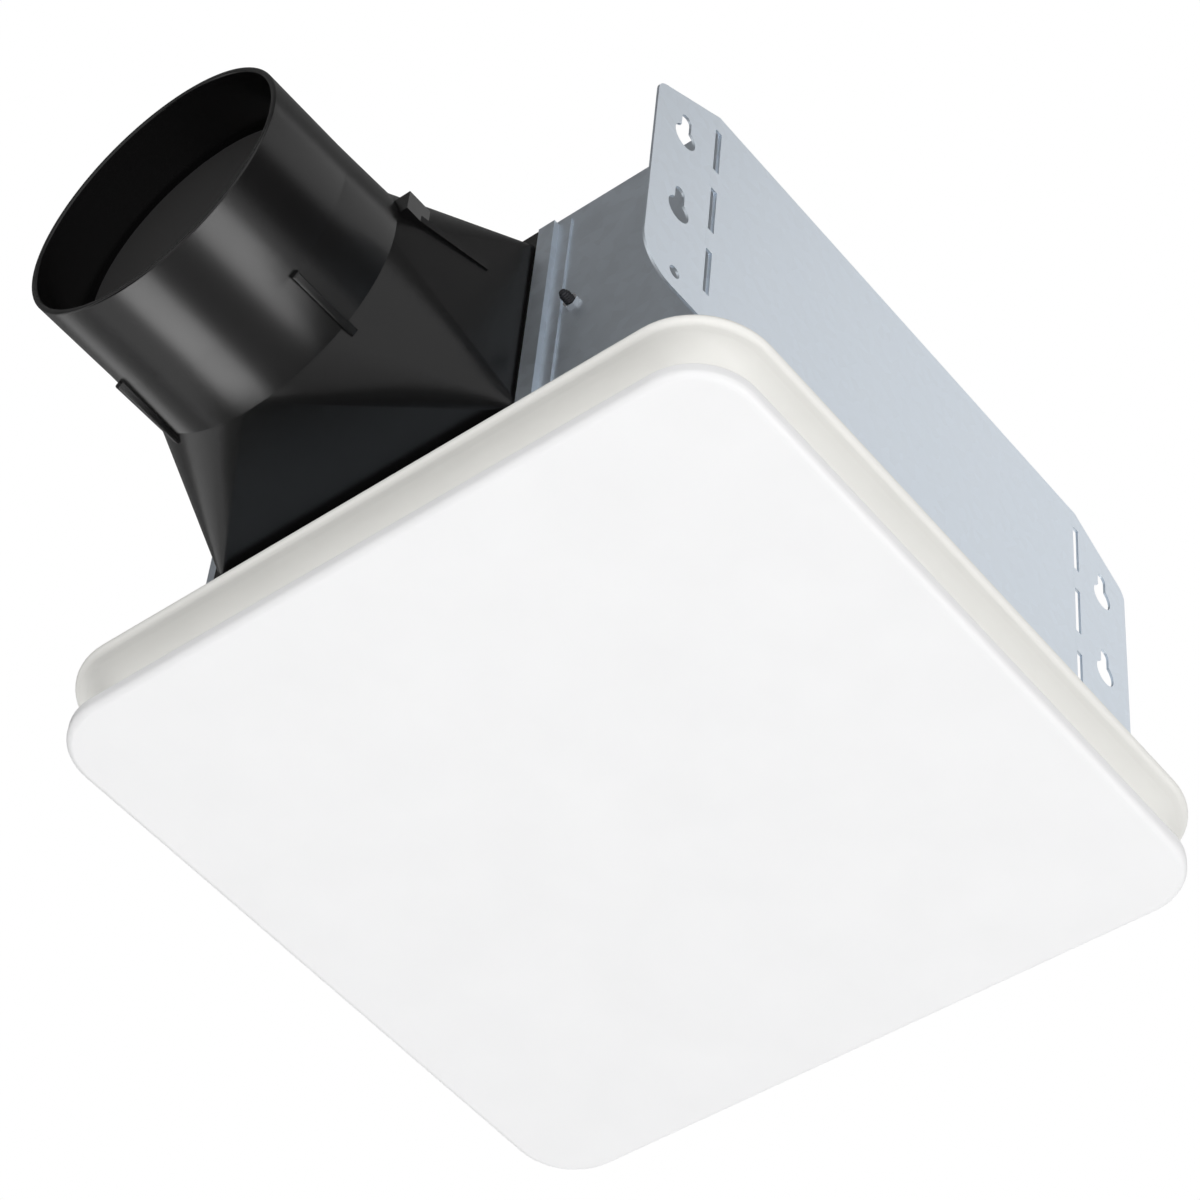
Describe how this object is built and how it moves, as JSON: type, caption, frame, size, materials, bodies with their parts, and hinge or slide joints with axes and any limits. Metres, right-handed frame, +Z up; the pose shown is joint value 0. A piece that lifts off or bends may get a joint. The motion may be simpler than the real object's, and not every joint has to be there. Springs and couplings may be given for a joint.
{
  "type": "ceiling exhaust fan",
  "caption": "Ceiling exhaust fan: sheet-steel housing with fold-out ears, side duct connector with damper, centrifugal blower, and a flat panel grille on torsion springs.",
  "frame": {"origin": "centre of the housing mouth, in the ceiling plane", "axes": "+Z up into the ceiling, the duct leaves towards -X, the plate with the ears is on the -Y side"},
  "size_m": [0.3457, 0.2698, 0.1733],
  "materials": {
    "galvanised": "zinc-coated sheet with a fine spangle",
    "zinc": "bright zinc plating",
    "dark_screw": "black oxide thread",
    "green_screw": "green earth screw",
    "black_plastic": "satin moulded plastic",
    "socket_plastic": "moulded socket body",
    "wheel_plastic": "moulded wheel",
    "panel_plastic": "smooth white moulding",
    "frame_plastic": "smooth warm white moulding",
    "spring_wire": "drawn spring wire",
    "bell_alloy": "as cast",
    "core_steel": "stacked laminations",
    "winding_wire": "enamelled copper wire",
    "bearing_bronze": "sintered bronze",
    "grommet_rubber": "soft rubber"
  },
  "bodies": {
    "housing": {"housing_wrap": "galvanised", "front_side_plate": "galvanised", "rear_side_plate": "galvanised", "connector_rail": "galvanised", "knockout": "galvanised", "wiring_cover": "galvanised", "scroll_wall": "galvanised", "inlet_plate": "galvanised", "motor_plate": "galvanised", "wall_nut": "zinc", "cover_screw": "zinc", "connector_screws": "zinc", "inlet_plate_screws": "zinc", "motor_studs": "zinc", "motor_nuts": "zinc", "damper_pin": "zinc", "wall_screw": "dark_screw", "ground_screw": "green_screw", "duct_connector": "black_plastic", "receptacle": "socket_plastic", "upper_end_bell": "bell_alloy", "lower_end_bell": "bell_alloy", "stator_core": "core_steel", "windings": "winding_wire", "upper_bearing": "bearing_bronze", "lower_bearing": "bearing_bronze", "motor_grommets": "grommet_rubber"},
    "left_ear": {"left_ear": "galvanised"},
    "right_ear": {"right_ear": "galvanised"},
    "damper": {"damper_flap": "black_plastic"},
    "fan": {"motor_shaft": "zinc", "motor_rotor": "core_steel", "blower_wheel": "wheel_plastic", "wheel_clip": "zinc"},
    "grille": {"grille_frame": "frame_plastic", "face_panel": "panel_plastic", "front_grille_spring": "spring_wire", "rear_grille_spring": "spring_wire"}
  },
  "joints": [
    {"name": "left_ear_fold", "type": "hinge", "parent": "housing", "child": "left_ear", "pos_m": [-0.10195, -0.10365, 0.092], "axis": [0, 0, -1], "range_deg": [0, 90]},
    {"name": "right_ear_fold", "type": "hinge", "parent": "housing", "child": "right_ear", "pos_m": [0.10195, -0.10365, 0.092], "axis": [0, 0, 1], "range_deg": [0, 90]},
    {"name": "damper_swing", "type": "hinge", "parent": "housing", "child": "damper", "pos_m": [-0.1851, 0.03309, 0.107], "axis": [0, 1, 0], "range_deg": [0, 75]},
    {"name": "fan_spin", "type": "hinge", "parent": "housing", "child": "fan", "pos_m": [0.006, 0.002, 0.09], "axis": [0, 0, 1], "continuous": true},
    {"name": "grille_pull", "type": "slide", "parent": "housing", "child": "grille", "axis": [0, 0, -1], "range_m": [0, 0.045], "stiffness_N_per_m": 60, "springref_m": -0.2, "deforming": ["front_grille_spring", "rear_grille_spring"]}
  ]
}
